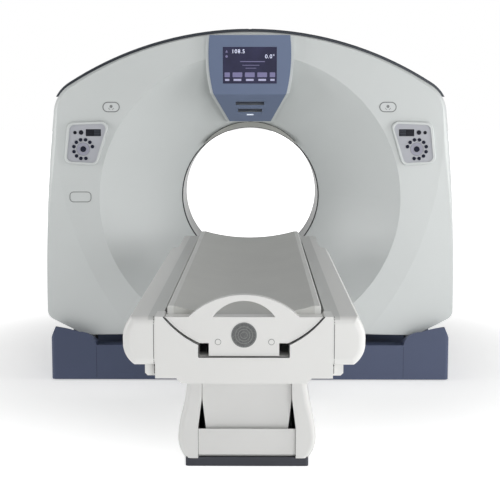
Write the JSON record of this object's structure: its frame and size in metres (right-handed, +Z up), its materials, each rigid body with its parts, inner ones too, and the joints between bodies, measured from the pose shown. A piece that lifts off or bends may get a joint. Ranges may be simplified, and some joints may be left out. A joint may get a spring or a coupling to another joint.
{
  "type": "ct scanner",
  "caption": "Computed tomography scanner: a tilting gantry with a round patient bore, display and control panels, and a height-adjustable patient table with a sliding cradle.",
  "frame": {"origin": "on the floor, straight below the middle of the patient bore", "axes": "+X across the gantry, to the right for a viewer at the foot of the table; +Y from the table's foot into the bore; +Z up"},
  "size_m": [2.0328, 3.28, 1.737],
  "materials": {
    "cover_white": "semi-gloss moulded cover, cool white",
    "table_white": "semi-gloss moulded cover, warm white",
    "navy": "satin navy paint with a fine texture",
    "display_blue": "satin slate blue",
    "screen_glass": "dark indigo display glass",
    "liner_clear": "thin translucent film ring",
    "lens_grey": "smoked grey-beige lens",
    "control_grey": "matte blue-grey membrane",
    "key_navy": "matte navy rubber",
    "key_grey": "matte light grey",
    "frame_steel": "grey powder coat",
    "machined_aluminium": "machined",
    "instrument_grey": "dark grey enamel",
    "brass": "polished tracks",
    "column_steel": "brushed",
    "cradle_taupe": "satin taupe laminate over carbon fibre",
    "slate": "satin slate paint"
  },
  "bodies": {
    "base": {"base_frame": "frame_steel", "stanchion_left": "frame_steel", "stanchion_right": "frame_steel", "base_cover_left": "navy", "base_cover_right": "navy", "base_cover_centre": "navy", "table_plinth": "slate", "pedestal_side_left": "table_white", "pedestal_side_right": "table_white", "pedestal_end_panels": "table_white", "column_base": "column_steel"},
    "gantry": {"tilt_frame": "frame_steel", "front_cover": "cover_white", "rear_cover": "cover_white", "top_cover": "navy", "bore_liner": "liner_clear", "laser_window": "lens_grey", "display_bezel": "display_blue", "display_screen": "screen_glass", "control_surround_left": "cover_white", "control_surround_right": "cover_white", "control_plate_left": "control_grey", "control_plate_right": "control_grey"},
    "rotor": {"rotor_drum": "machined_aluminium", "xray_tube": "machined_aluminium", "detector_array": "instrument_grey", "hv_generator": "instrument_grey", "slip_ring": "brass"},
    "stage_2": {"column_stage_2": "table_white"},
    "stage_3": {"column_stage_3": "column_steel"},
    "table_top": {"table_frame": "column_steel", "table_side_left": "table_white", "table_side_right": "table_white", "foot_cover": "table_white"},
    "cradle": {"cradle": "cradle_taupe", "foot_block": "table_white"},
    "left_key_01": {"left_key_01": "key_navy"},
    "left_key_02": {"left_key_02": "key_navy"},
    "left_key_03": {"left_key_03": "key_navy"},
    "left_key_04": {"left_key_04": "key_navy"},
    "left_key_05": {"left_key_05": "key_navy"},
    "left_key_06": {"left_key_06": "key_navy"},
    "left_key_07": {"left_key_07": "key_navy"},
    "left_key_08": {"left_key_08": "key_navy"},
    "left_key_09": {"left_key_09": "key_navy"},
    "left_key_10": {"left_key_10": "key_navy"},
    "left_centre_key": {"left_centre_key": "key_navy"},
    "left_round_key": {"left_round_key": "key_grey"},
    "right_key_01": {"right_key_01": "key_navy"},
    "right_key_02": {"right_key_02": "key_navy"},
    "right_key_03": {"right_key_03": "key_navy"},
    "right_key_04": {"right_key_04": "key_navy"},
    "right_key_05": {"right_key_05": "key_navy"},
    "right_key_06": {"right_key_06": "key_navy"},
    "right_key_07": {"right_key_07": "key_navy"},
    "right_key_08": {"right_key_08": "key_navy"},
    "right_key_09": {"right_key_09": "key_navy"},
    "right_key_10": {"right_key_10": "key_navy"},
    "right_centre_key": {"right_centre_key": "key_navy"},
    "right_round_key": {"right_round_key": "key_grey"}
  },
  "joints": [
    {"name": "gantry_tilt", "type": "hinge", "parent": "base", "child": "gantry", "pos_m": [0, 0, 0.9], "axis": [-1, 0, 0], "range_deg": [-30, 30]},
    {"name": "rotor_spin", "type": "hinge", "parent": "gantry", "child": "rotor", "pos_m": [0, 0, 0.9], "axis": [0, 1, 0], "continuous": true},
    {"name": "table_lift", "type": "slide", "parent": "base", "child": "table_top", "axis": [0, 0, 1], "range_m": [-0.285, 0.275]},
    {"name": "stage_2_lift", "type": "slide", "parent": "base", "child": "stage_2", "axis": [0, 0, 1], "range_m": [-0.0951, 0.0918]},
    {"name": "stage_3_lift", "type": "slide", "parent": "base", "child": "stage_3", "axis": [0, 0, 1], "range_m": [-0.1901, 0.1834]},
    {"name": "cradle_slide", "type": "slide", "parent": "table_top", "child": "cradle", "axis": [0, 1, 0], "range_m": [0, 1.7]},
    {"name": "left_key_01_press", "type": "slide", "parent": "gantry", "child": "left_key_01", "axis": [0, 1, 0], "range_m": [0, 0.0015], "stiffness_N_per_m": 600},
    {"name": "left_key_02_press", "type": "slide", "parent": "gantry", "child": "left_key_02", "axis": [0, 1, 0], "range_m": [0, 0.0015], "stiffness_N_per_m": 600},
    {"name": "left_key_03_press", "type": "slide", "parent": "gantry", "child": "left_key_03", "axis": [0, 1, 0], "range_m": [0, 0.0015], "stiffness_N_per_m": 600},
    {"name": "left_key_04_press", "type": "slide", "parent": "gantry", "child": "left_key_04", "axis": [0, 1, 0], "range_m": [0, 0.0015], "stiffness_N_per_m": 600},
    {"name": "left_key_05_press", "type": "slide", "parent": "gantry", "child": "left_key_05", "axis": [0, 1, 0], "range_m": [0, 0.0015], "stiffness_N_per_m": 600},
    {"name": "left_key_06_press", "type": "slide", "parent": "gantry", "child": "left_key_06", "axis": [0, 1, 0], "range_m": [0, 0.0015], "stiffness_N_per_m": 600},
    {"name": "left_key_07_press", "type": "slide", "parent": "gantry", "child": "left_key_07", "axis": [0, 1, 0], "range_m": [0, 0.0015], "stiffness_N_per_m": 600},
    {"name": "left_key_08_press", "type": "slide", "parent": "gantry", "child": "left_key_08", "axis": [0, 1, 0], "range_m": [0, 0.0015], "stiffness_N_per_m": 600},
    {"name": "left_key_09_press", "type": "slide", "parent": "gantry", "child": "left_key_09", "axis": [0, 1, 0], "range_m": [0, 0.0015], "stiffness_N_per_m": 600},
    {"name": "left_key_10_press", "type": "slide", "parent": "gantry", "child": "left_key_10", "axis": [0, 1, 0], "range_m": [0, 0.0015], "stiffness_N_per_m": 600},
    {"name": "left_centre_key_press", "type": "slide", "parent": "gantry", "child": "left_centre_key", "axis": [0, 1, 0], "range_m": [0, 0.0015], "stiffness_N_per_m": 600},
    {"name": "left_round_key_press", "type": "slide", "parent": "gantry", "child": "left_round_key", "axis": [0, 1, 0], "range_m": [0, 0.0015], "stiffness_N_per_m": 600},
    {"name": "right_key_01_press", "type": "slide", "parent": "gantry", "child": "right_key_01", "axis": [0, 1, 0], "range_m": [0, 0.0015], "stiffness_N_per_m": 600},
    {"name": "right_key_02_press", "type": "slide", "parent": "gantry", "child": "right_key_02", "axis": [0, 1, 0], "range_m": [0, 0.0015], "stiffness_N_per_m": 600},
    {"name": "right_key_03_press", "type": "slide", "parent": "gantry", "child": "right_key_03", "axis": [0, 1, 0], "range_m": [0, 0.0015], "stiffness_N_per_m": 600},
    {"name": "right_key_04_press", "type": "slide", "parent": "gantry", "child": "right_key_04", "axis": [0, 1, 0], "range_m": [0, 0.0015], "stiffness_N_per_m": 600},
    {"name": "right_key_05_press", "type": "slide", "parent": "gantry", "child": "right_key_05", "axis": [0, 1, 0], "range_m": [0, 0.0015], "stiffness_N_per_m": 600},
    {"name": "right_key_06_press", "type": "slide", "parent": "gantry", "child": "right_key_06", "axis": [0, 1, 0], "range_m": [0, 0.0015], "stiffness_N_per_m": 600},
    {"name": "right_key_07_press", "type": "slide", "parent": "gantry", "child": "right_key_07", "axis": [0, 1, 0], "range_m": [0, 0.0015], "stiffness_N_per_m": 600},
    {"name": "right_key_08_press", "type": "slide", "parent": "gantry", "child": "right_key_08", "axis": [0, 1, 0], "range_m": [0, 0.0015], "stiffness_N_per_m": 600},
    {"name": "right_key_09_press", "type": "slide", "parent": "gantry", "child": "right_key_09", "axis": [0, 1, 0], "range_m": [0, 0.0015], "stiffness_N_per_m": 600},
    {"name": "right_key_10_press", "type": "slide", "parent": "gantry", "child": "right_key_10", "axis": [0, 1, 0], "range_m": [0, 0.0015], "stiffness_N_per_m": 600},
    {"name": "right_centre_key_press", "type": "slide", "parent": "gantry", "child": "right_centre_key", "axis": [0, 1, 0], "range_m": [0, 0.0015], "stiffness_N_per_m": 600},
    {"name": "right_round_key_press", "type": "slide", "parent": "gantry", "child": "right_round_key", "axis": [0, 1, 0], "range_m": [0, 0.0015], "stiffness_N_per_m": 600}
  ],
  "couplings": [
    {"joint": "stage_2_lift", "follows": "table_lift", "ratio": 0.33333},
    {"joint": "stage_3_lift", "follows": "table_lift", "ratio": 0.66667}
  ]
}
